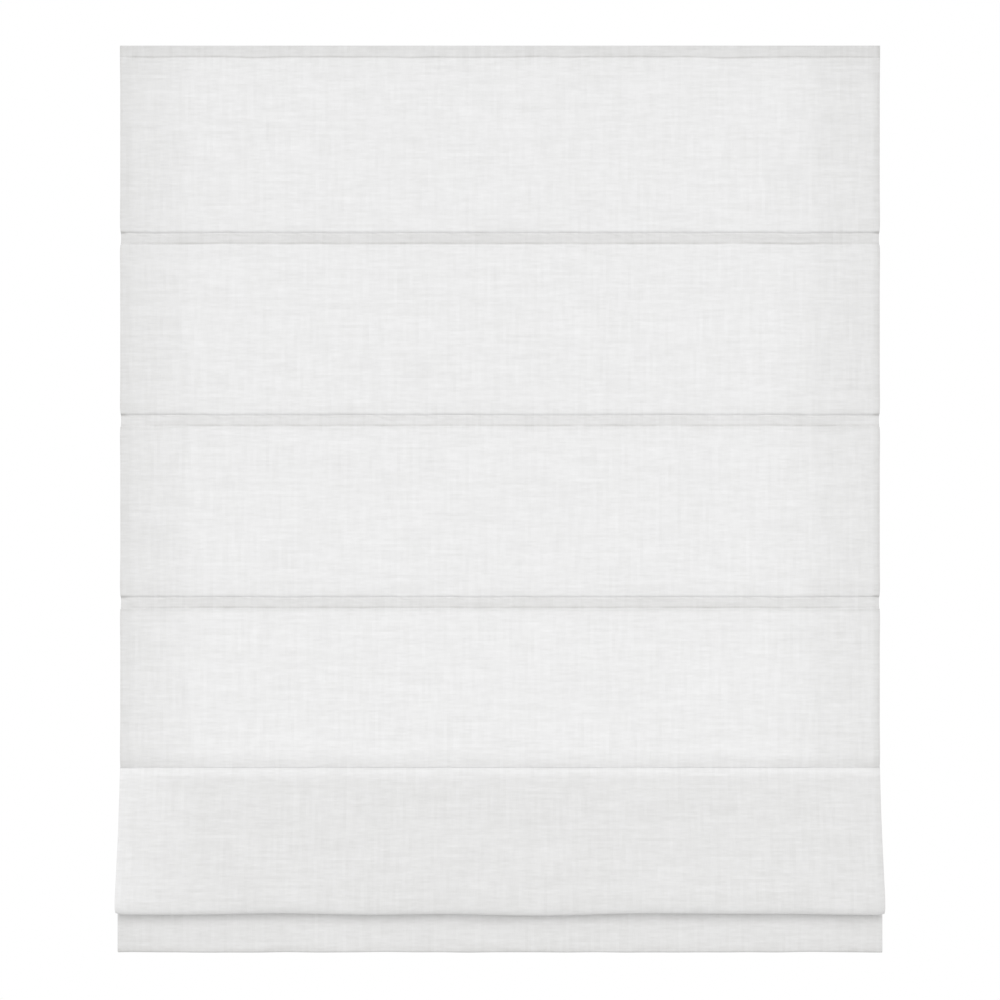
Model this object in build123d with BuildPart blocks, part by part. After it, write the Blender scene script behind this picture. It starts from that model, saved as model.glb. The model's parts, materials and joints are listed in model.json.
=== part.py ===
"""Roman blind of white lined linen, hung from a headrail with a spring-balanced cordless lift.

The cloth is one folded sheet with a turned top, side and bottom hem. Four battens pinch it back
into channels, and the panel above the fifth hangs forward in one soft fold. Behind it are the
lining, the battens, the cord rings and the hem bar. The headrail holds a lift shaft with three
spools in cradles and a spring cassette that balances the weight.

Millimetres. +Z is up, X runs along the headrail and the show side faces -Y. The origin is the
middle of the bracket screw holes, on the plane that the brackets are screwed to.
"""
import math
import os

from build123d import *

os.makedirs("parts", exist_ok=True)

# Cloth sizes, and heights from the top down
blind_width = 914.4
cloth_t = 0.6
lining_t = 0.4
side_hem = 80.0
top_hem = 16.0
top_drop = 0.5
first_strip_drop = 232.1
strip_pitch = 219.1
strip_height = 12.9
tuck_panel = 199.1
tuck_gap = 1.6
fold_height = 169.7
fold_straight = 21.7
fold_bend_r = 40.0
hem_show = 48.7
hem_turn_over = 1.3
flap_batten_lift = 12.7
flap_top_rise = 2.0
flap_fold_r = 1.25

# Depths of the cloth before and behind the plane of the panels
strip_recess = 7.1
fold_depth = 41.7
hem_forward = 17.9
lip_share = 0.7
seam_share = 0.17
neck_share = 0.56
tuck_lip_share = 0.34
fold_round_share = 0.42

# Room left between soft pieces, between moving pieces, at a corner, and past a face by a cut
soft_gap = 0.3
run_gap = 0.3
corner_gap = 0.1
overrun = 2.0

# Battens, lining, cord rings and hem bar
batten_t = 2.2
batten_edge_r = 1.0
batten_side_gap = 1.7
batten_end_gap = 6.0
pocket_r = 0.8
pocket_slack = 0.45
lining_inset = 18.0
lining_clear = 9.5
lining_bend_r = 30.0
lining_tuck = 12.0
lining_swing = 20.0
ring_outer_d = 12.0
ring_wire_d = 2.0
hem_bar_height = 25.0
hem_bar_t = 3.0
hem_bar_edge_r = 1.4
hem_bar_end_gap = 9.0

# Headrail
rail_depth = 40.0
rail_height = 38.0
rail_wall = 1.2
rail_lip = 7.1
rail_bend_r = 2.0
cap_t = 2.5
cap_boss = 6.0
cap_wall = 2.0
cap_edge_r = 0.8
cap_fit = 0.15
tape_t = 1.3

# Mounting brackets
bracket_length = 40.0
bracket_t = 1.2
bracket_toe = 4.6
bracket_edge_inset = 67.2
screw_hole_d = 4.5
screw_inset = 4.9

# Lift shaft, spools and cradles
spool_count = 3
spool_inset = 127.2
spool_r = 8.2
spool_taper = 0.4
spool_length = 24.0
flange_rise = 2.8
flange_t = 1.5
journal_r = 4.5
journal_length = 5.0
shaft_across = 5.0
shaft_fit = 0.12
shaft_end = 4.0
cradle_wall = 2.5
cradle_base_t = 1.6
cradle_side_gap = 4.8
cradle_top_rise = 7.0
cradle_edge_r = 3.0
cradle_keeper_share = 0.9
spout_outer_d = 7.0
spout_bore_d = 4.5
spout_reach = 1.5

# Spring cassette
cassette_gap = 1.8
cassette_wall = 1.6
cassette_length = 22.0
cassette_foot = 24.0
cover_t = 1.8
cover_window_inset = 3.0
cover_window_width = 4.5
cover_window_arc = 70.0
cover_window_count = 3
arbor_r = 5.4
arbor_collar_rise = 1.6
spring_band_t = 0.35
spring_turns = 7
spring_side_gap = 0.6

# Depths, counted from the headrail's middle; the show side is -Y
cloth_layers = 2 * cloth_t
rail_front = -rail_depth / 2
hem_fold = cloth_layers + 2 * corner_gap
panel_y = rail_front - 2 * tape_t - hem_fold
strip_y = panel_y + strip_recess
lip_r = strip_recess * lip_share
seam_r = strip_recess * seam_share
neck_y = panel_y + strip_recess * neck_share
neck_r = cloth_layers + corner_gap
tuck_lip_r = strip_recess * tuck_lip_share
hem_y = panel_y - hem_forward
fold_y = panel_y - fold_depth
fold_r = (hem_y - fold_y) * fold_round_share
fold_back_y = fold_y + 2 * fold_r + corner_gap
flap_y = hem_y - 2 * flap_fold_r - corner_gap
hem_t = hem_bar_t + 2 * cloth_layers + 2 * soft_gap
hem_r = hem_t / 2 - corner_gap / 2
lining_gap = cloth_layers + soft_gap
pocket_depth = cloth_layers + soft_gap + batten_t + soft_gap

# Heights
strip_z = [-first_strip_drop - i * strip_pitch for i in range(3)]
tuck_z = strip_z[-1] - tuck_panel
fold_z = tuck_z - fold_height
fold_full_z = fold_z + fold_straight
hem_z = fold_z - hem_show
hem_turn = hem_show + hem_turn_over
flap_batten_z = fold_z + flap_batten_lift
flap_top_z = flap_batten_z + strip_height / 2 + flap_top_rise
batten_height = strip_height - 2 * batten_side_gap
batten_z = strip_z + [tuck_z, flap_batten_z]
batten_face_y = [strip_y] * 4 + [hem_y]
rail_top = -top_drop
rail_floor = rail_top - rail_height
rail_inside_floor = rail_floor + rail_wall
rail_middle = rail_top - rail_height / 2
shaft_z = rail_middle

# Places along the headrail and across it
ring_y = strip_y + pocket_depth + lining_t + soft_gap + ring_outer_d / 2
shaft_y = 0
spout_y = shaft_y - spool_r
spool_spread = blind_width - 2 * spool_inset
spool_x = [spool_spread * (i / (spool_count - 1) - 1 / 2) for i in range(spool_count)]
cassette_x = (spool_x[-2] + spool_x[-1]) / 2
bracket_x = blind_width / 2 - bracket_edge_inset
lining_width = blind_width - 2 * lining_inset
batten_length = lining_width - 2 * batten_end_gap
hem_bar_length = blind_width - 2 * hem_bar_end_gap
rail_length = blind_width - 2 * cap_t - 2 * corner_gap
rail_inside = rail_depth / 2 - rail_wall
cradle_depth = 2 * (rail_inside - cradle_side_gap)
flange_r = spool_r + flange_rise
cassette_r = min(rail_inside, rail_height / 2 - rail_wall) - cassette_gap
nodes = []


def finish(builder, name):
    """Names a finished piece and writes it."""
    builder.part.label = name
    export_step(builder.part, f"parts/{name}.step")
    nodes.append(name)


def sheet_section(points, radii, thickness):
    """Adds a sheet's section: its show side goes through points, its back lies to their left.

    The back's corners are the show side's, moved along each corner's mitre, and its arcs keep the
    same centres, so the sheet has one thickness all along.
    """
    show = [Vector(*point) for point in points]
    runs = [(end - start).normalized() for start, end in zip(show, show[1:])]
    sides = [Vector(-run.Y, run.X) for run in runs]
    back = [show[0] + sides[0] * thickness]
    back_radii = []
    for i, radius in enumerate(radii):
        mitre = (sides[i] + sides[i + 1]) / (1 + sides[i].dot(sides[i + 1]))
        back.append(show[i + 1] + mitre * thickness)
        turn = math.copysign(1, runs[i].cross(runs[i + 1]).Z)
        back_radii.append(radius - turn * thickness)
    back.append(show[-1] + sides[-1] * thickness)
    with BuildLine() as outline:
        FilletPolyline(*show, radius=radii)
        FilletPolyline(*back, radius=back_radii)
        Line(show[0], back[0])
        Line(show[-1], back[-1])
    make_face(outline.edges())


# Face cloth: one show-side path from the turned top edge to the turned hem
top_fold = [
    (panel_y + hem_fold, -top_drop - top_hem),
    (panel_y + hem_fold, -top_drop),
    (panel_y, -top_drop),
]
top_fold_radii = [hem_fold / 2 - corner_gap / 2] * 2

body_path = []
body_radii = []
for z in strip_z:
    upper = z + strip_height / 2
    lower = z - strip_height / 2
    body_path += [(panel_y, upper), (strip_y, upper), (strip_y, lower), (panel_y, lower)]
    body_radii += [lip_r, seam_r, seam_r, lip_r]

body_path += [
    (panel_y, tuck_z + tuck_gap / 2),
    (neck_y, tuck_z + tuck_gap / 2),
    (strip_y, tuck_z + strip_height / 2),
    (strip_y, tuck_z - strip_height / 2),
    (neck_y, tuck_z - tuck_gap / 2),
    (panel_y, tuck_z - tuck_gap / 2),
]
body_radii += [tuck_lip_r, neck_r, seam_r / 2, seam_r / 2, neck_r, tuck_lip_r]

body_path += [
    (fold_y, fold_full_z),
    (fold_y, fold_z),
    (fold_back_y, fold_z),
    (flap_y, flap_top_z),
    (hem_y, flap_top_z),
    (hem_y, hem_z),
    (hem_y + hem_t, hem_z),
    (hem_y + hem_t, hem_z + hem_turn),
]
body_radii += [fold_bend_r, fold_r, fold_r, flap_fold_r, flap_fold_r, hem_r, hem_r]

face_path = top_fold + body_path
face_radii = top_fold_radii + body_radii
side_path = [(panel_y, -top_drop - top_hem)] + body_path

with BuildPart() as face_fabric:
    with BuildSketch(Plane.YZ):
        sheet_section(face_path, face_radii, cloth_t)
    extrude(amount=blind_width / 2, both=True)
    for edge_x in (-blind_width / 2, blind_width / 2 - side_hem):
        with BuildSketch(Plane.YZ.offset(edge_x)):
            sheet_section(side_path, body_radii, cloth_layers)
        extrude(amount=side_hem)
finish(face_fabric, "face_fabric")

# Lining: hangs straight behind the channels, and is stitched round each batten as a pocket
stitch_half = strip_height / 2
pocket_half = batten_height / 2 + pocket_slack


def pocket_points(face_y, z):
    """Corners of one batten pocket, on the lining's side that meets the cloth."""
    return [
        (face_y + lining_gap, z + stitch_half),
        (face_y + pocket_depth, z + pocket_half),
        (face_y + pocket_depth, z - pocket_half),
        (face_y + lining_gap, z - stitch_half),
    ]


slope = fold_depth / (tuck_z - fold_full_z)
slope_gap = lining_gap * math.hypot(1, slope) + soft_gap
swing_z = tuck_z - lining_swing
lining_path = [
    (panel_y + lining_gap, -top_drop - top_hem - soft_gap),
    (panel_y + lining_gap, rail_floor - lining_clear),
]
lining_radii = [lining_bend_r]
for z in strip_z + [tuck_z]:
    lining_path += pocket_points(strip_y, z)
    lining_radii += [pocket_r] * 4
lining_path += [
    (panel_y - slope * lining_swing + slope_gap, swing_z),
    (fold_y + lining_gap, fold_full_z),
    (fold_y + lining_gap, fold_z + lining_gap),
    (fold_back_y - lining_gap, fold_z + lining_gap),
    (flap_y - lining_gap, flap_top_z + lining_gap),
    (hem_y + lining_gap, flap_top_z + lining_gap),
]
loop_r = fold_r - lining_gap
over_r = flap_fold_r + lining_gap
lining_radii += [lining_swing / 2, fold_bend_r, loop_r, loop_r, over_r, over_r]
lining_path += pocket_points(hem_y, flap_batten_z)
lining_path += [(hem_y + lining_gap, hem_z + hem_turn - lining_tuck)]
lining_radii += [pocket_r] * 4

with BuildPart() as lining:
    with BuildSketch(Plane.YZ):
        sheet_section(lining_path, lining_radii, lining_t)
    extrude(amount=lining_width / 2, both=True)
finish(lining, "lining")

# Battens and their cord rings, from the top down
for i, (z, face_y) in enumerate(zip(batten_z, batten_face_y), start=1):
    batten_y = face_y + cloth_layers + soft_gap + batten_t / 2
    with BuildPart() as batten:
        with BuildSketch(Plane.YZ):
            with Locations((batten_y, z)):
                RectangleRounded(batten_t, batten_height, batten_edge_r)
        extrude(amount=batten_length / 2, both=True)
    finish(batten, f"batten_{i}")

    this_ring_y = ring_y + face_y - strip_y
    for side, x in zip(("left", "middle", "right"), spool_x):
        with BuildPart() as ring:
            with Locations((x, this_ring_y, z)):
                Torus((ring_outer_d - ring_wire_d) / 2, ring_wire_d / 2)
        finish(ring, f"cord_ring_{i}_{side}")

# Hem bar, in the turned hem
hem_bar_y = hem_y + hem_t / 2
hem_bar_bottom = hem_z + hem_r + soft_gap
with BuildPart() as hem_bar:
    with BuildSketch(Plane.YZ):
        with Locations((hem_bar_y, hem_bar_bottom + hem_bar_height / 2)):
            RectangleRounded(hem_bar_t, hem_bar_height, hem_bar_edge_r)
    extrude(amount=hem_bar_length / 2, both=True)
finish(hem_bar, "hem_bar")

# Headrail: a rolled channel, open at the top between two lips
lip_y = rail_depth / 2 - rail_lip
with BuildPart() as headrail:
    with BuildSketch(Plane.YZ):
        sheet_section(
            [
                (-lip_y, rail_top),
                (rail_front, rail_top),
                (rail_front, rail_floor),
                (-rail_front, rail_floor),
                (-rail_front, rail_top),
                (lip_y, rail_top),
            ],
            [rail_bend_r] * 4,
            rail_wall,
        )
    extrude(amount=rail_length / 2, both=True)
    with BuildSketch(Plane.XY.offset(rail_floor)):
        with Locations(*[(x, spout_y) for x in spool_x]):
            Circle(spout_outer_d / 2 + run_gap)
    extrude(amount=rail_wall + overrun, mode=Mode.SUBTRACT)
finish(headrail, "headrail")

# End caps: a plate that covers the channel's end, and a hollow boss that plugs it
boss_wall = rail_wall + cap_fit
boss_height = rail_height - 2 * boss_wall
for side, sign in (("left", -1), ("right", 1)):
    cap_plane = Plane(
        origin=(sign * rail_length / 2, 0, rail_middle), x_dir=(0, 1, 0), z_dir=(sign, 0, 0)
    )
    with BuildPart() as end_cap:
        with BuildSketch(cap_plane):
            RectangleRounded(rail_depth, rail_height, rail_bend_r)
        extrude(amount=cap_t)
        outer_edges = end_cap.edges().filter_by(Plane.YZ).group_by(Axis.X)[-1 if sign > 0 else 0]
        fillet(outer_edges, cap_edge_r)
        with BuildSketch(cap_plane):
            RectangleRounded(rail_depth - 2 * boss_wall, boss_height, rail_bend_r)
            offset(amount=-cap_wall, mode=Mode.SUBTRACT)
        extrude(amount=-cap_boss)
    finish(end_cap, f"end_cap_{side}")

# Hook tape on the headrail and loop tape on the cloth
for name, back_y in (("hook_tape", rail_front), ("loop_tape", rail_front - tape_t)):
    with BuildPart() as tape:
        with BuildSketch(Plane.XZ.offset(-back_y)):
            with Locations((0, -top_drop - rail_bend_r / 2 - top_hem / 2)):
                Rectangle(rail_length, top_hem - rail_bend_r)
        extrude(amount=tape_t)
    finish(tape, name)

# Mounting brackets: spring clips whose toes hold the channel's lips from below
toe_z = rail_top - rail_wall - run_gap
leg_y = lip_y - run_gap
screw_y = leg_y - bracket_t - screw_inset
bracket_bend_r = bracket_t + corner_gap
for side, x in (("left", -bracket_x), ("right", bracket_x)):
    with BuildPart() as bracket:
        with BuildSketch(Plane.YZ.offset(x)):
            sheet_section(
                [
                    (-leg_y - bracket_toe, toe_z),
                    (-leg_y, toe_z),
                    (-leg_y, 0),
                    (leg_y, 0),
                    (leg_y, toe_z),
                    (leg_y + bracket_toe, toe_z),
                ],
                [corner_gap, bracket_bend_r, bracket_bend_r, corner_gap],
                -bracket_t,
            )
        extrude(amount=bracket_length / 2, both=True)
        with BuildSketch(Plane.XY):
            with Locations((x, screw_y), (x, -screw_y)):
                Circle(screw_hole_d / 2)
        extrude(amount=-bracket_t - overrun, mode=Mode.SUBTRACT)
    finish(bracket, f"mounting_bracket_{side}")

# Lift shaft: a hexagonal rod through the spools and the spring cassette
spool_total = spool_length + 2 * (flange_t + journal_length)
shaft_length = spool_spread + spool_total + 2 * shaft_end
hex_r = shaft_across / math.sqrt(3)
bore_r = hex_r + shaft_fit
with BuildPart() as lift_shaft:
    with BuildSketch(Plane.YZ):
        with Locations((shaft_y, shaft_z)):
            RegularPolygon(hex_r, 6)
    extrude(amount=shaft_length / 2, both=True)
finish(lift_shaft, "lift_shaft")

# Lift spools: a tapered drum between two flanges, turning on two journals
flange_x = spool_length / 2
journal_x = flange_x + flange_t
spool_end_x = journal_x + journal_length
for side, x in zip(("left", "middle", "right"), spool_x):
    spool_plane = Plane(origin=(x, shaft_y, shaft_z), x_dir=(1, 0, 0), z_dir=(0, -1, 0))
    with BuildPart() as spool:
        with BuildSketch(spool_plane):
            with BuildLine():
                Polyline(
                    (-spool_end_x, 0),
                    (-spool_end_x, journal_r),
                    (-journal_x, journal_r),
                    (-journal_x, flange_r),
                    (-flange_x, flange_r),
                    (-flange_x, spool_r + spool_taper),
                    (flange_x, spool_r),
                    (flange_x, flange_r),
                    (journal_x, flange_r),
                    (journal_x, journal_r),
                    (spool_end_x, journal_r),
                    (spool_end_x, 0),
                    close=True,
                )
            make_face()
        revolve(axis=Axis((x, shaft_y, shaft_z), (1, 0, 0)))
        with BuildSketch(Plane.YZ.offset(x)):
            with Locations((shaft_y, shaft_z)):
                RegularPolygon(bore_r, 6)
        extrude(amount=spool_end_x + overrun, both=True, mode=Mode.SUBTRACT)
    finish(spool, f"lift_spool_{side}")

# Spool cradles: a base on the channel's floor, two bearing walls open at the top, and a cord spout
bearing_r = journal_r + run_gap
wall_x = journal_x + (journal_length - cradle_wall) / 2
cradle_top = shaft_z + cradle_top_rise
wall_height = cradle_top - rail_inside_floor
for side, x in zip(("left", "middle", "right"), spool_x):
    with BuildPart() as cradle:
        with BuildSketch(Plane.XY.offset(rail_inside_floor)):
            with Locations((x, 0)):
                RectangleRounded(2 * (wall_x + cradle_wall), cradle_depth, cradle_edge_r / 2)
        extrude(amount=cradle_base_t)
        for wall_start in (-wall_x - cradle_wall, wall_x):
            with BuildSketch(Plane.YZ.offset(x + wall_start)):
                with Locations((0, rail_inside_floor + wall_height / 2)):
                    wall = Rectangle(cradle_depth, wall_height)
                fillet(wall.vertices().group_by(Axis.Z)[-1], cradle_edge_r)
                with Locations((shaft_y, shaft_z)):
                    Circle(bearing_r, mode=Mode.SUBTRACT)
                with Locations((shaft_y, shaft_z + cradle_top_rise)):
                    slot_width = 2 * bearing_r * cradle_keeper_share
                    Rectangle(slot_width, 2 * cradle_top_rise, mode=Mode.SUBTRACT)
            extrude(amount=cradle_wall)
        with BuildSketch(Plane.XY.offset(rail_floor - spout_reach)):
            with Locations((x, spout_y)):
                Circle(spout_outer_d / 2)
        extrude(amount=spout_reach + rail_wall)
        with BuildSketch(Plane.XY.offset(rail_floor - spout_reach)):
            with Locations((x, spout_y)):
                Circle(spout_bore_d / 2)
        extrude(amount=spout_reach + rail_wall + cradle_base_t + overrun, mode=Mode.SUBTRACT)
    finish(cradle, f"spool_cradle_{side}")

# Spring cassette: a cup standing on the channel's floor, a cover with three windows, and inside
# it a coiled band round an arbor on the shaft
foot_drop = shaft_z - rail_inside_floor
cassette_start = cassette_x - cassette_length / 2
cassette_end = cassette_x + cassette_length / 2
collar_bore_r = arbor_r + run_gap


def cassette_outline():
    """Adds the cassette's outside: a round body that widens to a flat foot."""
    with Locations((shaft_y, shaft_z)):
        Circle(cassette_r)
    with Locations((shaft_y, shaft_z - foot_drop / 2)):
        Rectangle(cassette_foot, foot_drop)


with BuildPart() as spring_housing:
    with BuildSketch(Plane.YZ.offset(cassette_start)):
        cassette_outline()
    extrude(amount=cassette_length)
    with BuildSketch(Plane.YZ.offset(cassette_start + cassette_wall)):
        with Locations((shaft_y, shaft_z)):
            Circle(cassette_r - cassette_wall)
    extrude(amount=cassette_length, mode=Mode.SUBTRACT)
    with BuildSketch(Plane.YZ.offset(cassette_start)):
        with Locations((shaft_y, shaft_z)):
            Circle(collar_bore_r)
    extrude(amount=cassette_length, mode=Mode.SUBTRACT)
finish(spring_housing, "spring_housing")

window_r = cassette_r - cover_window_inset - cover_window_width / 2
with BuildPart() as spring_cover:
    with BuildSketch(Plane.YZ.offset(cassette_end)):
        cassette_outline()
        with Locations((shaft_y, shaft_z)):
            Circle(collar_bore_r, mode=Mode.SUBTRACT)
            with PolarLocations(0, cover_window_count, start_angle=90):
                SlotArc(
                    CenterArc((0, 0), window_r, -cover_window_arc / 2, cover_window_arc, mode=Mode.PRIVATE),
                    cover_window_width,
                    mode=Mode.SUBTRACT,
                )
    extrude(amount=cover_t)
finish(spring_cover, "spring_cover")

with BuildPart() as spring_arbor:
    arbor_start = cassette_start - cover_t
    with BuildSketch(Plane.YZ.offset(arbor_start)):
        with Locations((shaft_y, shaft_z)):
            Circle(arbor_r)
            RegularPolygon(bore_r, 6, mode=Mode.SUBTRACT)
    extrude(amount=cassette_length + 3 * cover_t)
    with BuildSketch(Plane.YZ.offset(cassette_end + cover_t + run_gap)):
        with Locations((shaft_y, shaft_z)):
            Circle(arbor_r + arbor_collar_rise)
            RegularPolygon(bore_r, 6, mode=Mode.SUBTRACT)
    extrude(amount=cover_t)
finish(spring_arbor, "spring_arbor")

# The band: half-turn arcs about two centres, so each turn lies one step outside the last
coil_inner_r = arbor_r + run_gap + spring_band_t
coil_room = cassette_r - cassette_wall - run_gap - coil_inner_r
coil_step = coil_room / (spring_turns + 1 / 2)
with BuildPart() as drive_spring:
    with BuildSketch(Plane.YZ.offset(cassette_start + cassette_wall + spring_side_gap)):
        with BuildLine():
            for half in range(2 * spring_turns):
                arc_r = coil_inner_r + half * coil_step / 2
                arc_shift = 0 if half % 2 == 0 else coil_step / 2
                arc_start = 0 if half % 2 == 0 else 180
                CenterArc((shaft_y - arc_shift, shaft_z), arc_r, arc_start, 180)
            offset(amount=-spring_band_t, side=Side.LEFT, closed=True)
        make_face()
    extrude(amount=cassette_length - cassette_wall - 2 * spring_side_gap)
finish(drive_spring, "drive_spring")

print(len(nodes), "pieces written")
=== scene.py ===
# %% [markdown]
# # A linen Roman blind
# The blind hangs from a slim headrail. Its face is one sheet of white linen that four battens pinch
# back into narrow channels; below the fourth the cloth swings forward in a soft fold, and a short
# weighted hem shows under it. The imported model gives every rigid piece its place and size. This
# lesson makes the cloth, the lining and the sewing as meshes, and gives each piece its finish.

# %% The frame
import json
import math

import bpy
import numpy as np
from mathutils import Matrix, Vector


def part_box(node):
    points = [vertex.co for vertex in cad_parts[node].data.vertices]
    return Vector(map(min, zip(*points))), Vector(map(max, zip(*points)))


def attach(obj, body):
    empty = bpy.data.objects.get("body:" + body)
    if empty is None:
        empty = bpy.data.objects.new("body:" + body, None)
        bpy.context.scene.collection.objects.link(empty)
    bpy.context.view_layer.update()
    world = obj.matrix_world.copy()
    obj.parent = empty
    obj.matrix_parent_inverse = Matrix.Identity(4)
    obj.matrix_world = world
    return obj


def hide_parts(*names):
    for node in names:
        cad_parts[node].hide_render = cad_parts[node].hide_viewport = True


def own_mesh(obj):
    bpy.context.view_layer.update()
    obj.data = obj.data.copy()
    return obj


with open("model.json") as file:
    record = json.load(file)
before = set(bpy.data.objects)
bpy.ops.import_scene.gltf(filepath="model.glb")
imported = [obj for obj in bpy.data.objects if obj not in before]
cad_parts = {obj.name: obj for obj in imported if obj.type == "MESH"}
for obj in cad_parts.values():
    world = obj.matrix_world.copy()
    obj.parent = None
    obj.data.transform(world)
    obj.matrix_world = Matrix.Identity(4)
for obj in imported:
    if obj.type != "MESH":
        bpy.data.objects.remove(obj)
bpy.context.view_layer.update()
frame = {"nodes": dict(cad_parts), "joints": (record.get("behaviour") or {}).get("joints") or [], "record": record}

# %% [markdown]
# ## Sizes
# All lengths are metres. What a rigid piece already fixes is read from its box: the battens give the
# heights of the channels, the tape gives the plane that the cloth hangs in, and the cloth's own box
# gives its width, its lowest edge and how far the fold comes forward. They could be written as
# numbers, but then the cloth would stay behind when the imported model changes. Only the sewing's own
# sizes are written here.

# %% Sizes read from the frame
mm = 0.001
cloth_t = 0.6 * mm
lining_t = 0.4 * mm
layers_t = 2 * cloth_t
soft_gap = 0.3 * mm
tape_gap = 0.2 * mm

cloth_low, cloth_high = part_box("face_fabric")
lining_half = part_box("lining")[1].x
batten_boxes = [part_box(f"batten_{i}") for i in range(1, 6)]
batten_z = [(low.z + high.z) / 2 for low, high in batten_boxes]

half_width = cloth_high.x
top_z = cloth_high.z
tuck_z = batten_z[3]
hem_z = cloth_low.z
fold_y = cloth_low.y
panel_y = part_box("loop_tape")[0].y - layers_t - tape_gap
strip_y, hem_y = (batten_boxes[i][0].y - layers_t - soft_gap for i in (0, 4))
print(f"cloth {2 * half_width:.4f} m wide, hung {top_z - hem_z:.4f} m long")

# %% Sizes of the sewing
side_hem = 80 * mm
top_hem = 16 * mm
strip_half = 6.45 * mm
fold_z = batten_z[4] - 12.7 * mm
fold_full_z = fold_z + 21.7 * mm
fold_r = (hem_y - fold_y) * 0.42
flap_z = batten_z[4] + strip_half + 2 * mm
flap_r = 1.25 * mm
hem_t = 6 * mm
hem_r = 2.9 * mm
hem_end_z = fold_z + 1.3 * mm
bend_gap = 0.1 * mm
print(f"channels {2 * strip_half / mm:.1f} mm high, fold {(tuck_z - fold_z) / mm:.0f} mm")

# %% [markdown]
# ## The line that a sheet follows
# Cut across, the cloth is one line: down the panel, back over a soft lip into a channel, out again,
# and so on to the hem. It could be drawn as a curve by hand, but the seams need rows at exact places.
# So the line is a list of corners with a bend radius each, because real cloth never turns a sharp
# corner. A corner of radius zero only marks a row, or a place where the sheet will be parted.

# %% Rounded lines
turn_step = math.radians(12)


def bend(start, run, turn, radius):
    """Points of an arc that leaves start along run: a spoke swung by turn round the arc's centre."""
    centre = start + math.copysign(radius, turn) * np.array([-run[1], run[0]])
    steps = max(2, math.ceil(abs(turn) / turn_step))
    angle = turn * np.arange(1, steps + 1) / steps
    y, z = start - centre
    cosine, sine = np.cos(angle), np.sin(angle)
    return centre + np.stack([y * cosine - z * sine, y * sine + z * cosine], 1)


def rounded_line(corners, run_step):
    """Points along a line through corners (y, z, radius), and the row of each corner.

    An arc of the given radius touches both runs at a corner: it starts radius times the tangent of
    half the turn before the corner. Runs are divided evenly into steps no longer than run_step.
    """
    at = np.array([corner[:2] for corner in corners])
    radius = [corner[2] for corner in corners]
    run = np.diff(at, axis=0)
    run /= np.linalg.norm(run, axis=1, keepdims=True)
    points, rows = [at[:1]], [0]
    for i in range(1, len(at)):
        turn = 0.0
        if i < len(at) - 1:
            cross = run[i - 1, 0] * run[i, 1] - run[i - 1, 1] * run[i, 0]
            turn = math.atan2(cross, run[i - 1] @ run[i])
        reach = radius[i] * math.tan(abs(turn) / 2)
        start, end = points[-1][-1], at[i] - run[i - 1] * reach
        steps = max(1, math.ceil(np.linalg.norm(end - start) / run_step))
        share = np.arange(1, steps + 1)[:, None] / steps
        points.append(start + (end - start) * share)
        count = sum(len(part) for part in points)
        if reach > 0:
            points.append(bend(end, run[i - 1], turn, radius[i]))
            count += len(points[-1]) // 2
        rows.append(count - 1)
    return np.concatenate(points), rows


quarter = bend(np.zeros(2), np.array([0.0, -1.0]), math.pi / 2, 5 * mm)
print("a quarter bend has", len(quarter), "points")

# %% [markdown]
# ## Panels and channels
# Raising the blind lifts each batten by its own share, and the cloth between two battens folds
# forward. A channel stays as it is and rides on its batten. A panel is parted at its middle, and each
# half hangs on the batten next to it. The cloth could stay one mesh, but a mesh follows only one body,
# so its partings are marked here. Rows stand close together beside a seam, where the cloth bends most.

# %% Where the panels part
gather_z = -45 * mm
channel_reach = strip_half + 6.5 * mm
tuck_reach = 20 * mm
panel_tops = [gather_z] + [z - channel_reach for z in batten_z[:3]]
panel_feet = [z + channel_reach for z in batten_z[:3]] + [tuck_z + tuck_reach]


def part_at(key, y, z, corners, cuts):
    """Marks a place where the sheet is parted."""
    cuts[key] = len(corners)
    corners.append((y, z, 0))


def add_panel(number, y, corners, cuts):
    """Adds the three partings of a panel: its top, its middle and its foot."""
    upper, lower = panel_tops[number - 1], panel_feet[number - 1]
    part_at(f"panel_{number}_top", y, upper, corners, cuts)
    part_at(f"panel_{number}_middle", y, (upper + lower) / 2, corners, cuts)
    part_at(f"panel_{number}_foot", y, lower, corners, cuts)


print("panel heights:", [round(upper - lower, 3) for upper, lower in zip(panel_tops, panel_feet)])

# %% The shape of a channel
strip_show_y = strip_y - 4.2 * mm
seam_r = 1.0 * mm
foot_lip_r = 4.0 * mm
foot_slant = 0.9 * mm
foot_rise = 0.5 * mm
head_lip_r = 1.2 * mm
head_drop = 1.2 * mm
fine_rows = np.array([0.35, 0.7, 1.1, 1.6, 2.2, 3.0, 4.0]) * mm
seam_rows = seam_r + fine_rows[1:6]


def channel_corners(z):
    """Corners of the channel at height z: a soft lip, the channel with its fine rows, a firm lip."""
    upper, lower = z + strip_half + foot_rise, z - strip_half - head_drop
    inner = upper - foot_slant
    lips = [(panel_y, upper + foot_slant, foot_lip_r), (strip_show_y, inner, seam_r)]
    bottom_rows = [(strip_show_y, inner - drop, 0) for drop in seam_rows]
    bottom_rows += [(strip_show_y, lower + rise, 0) for rise in seam_rows[::-1]]
    return lips + bottom_rows + [(strip_show_y, lower, seam_r), (panel_y, lower, head_lip_r)]


print("a channel has", len(channel_corners(0.0)), "corners")

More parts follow.
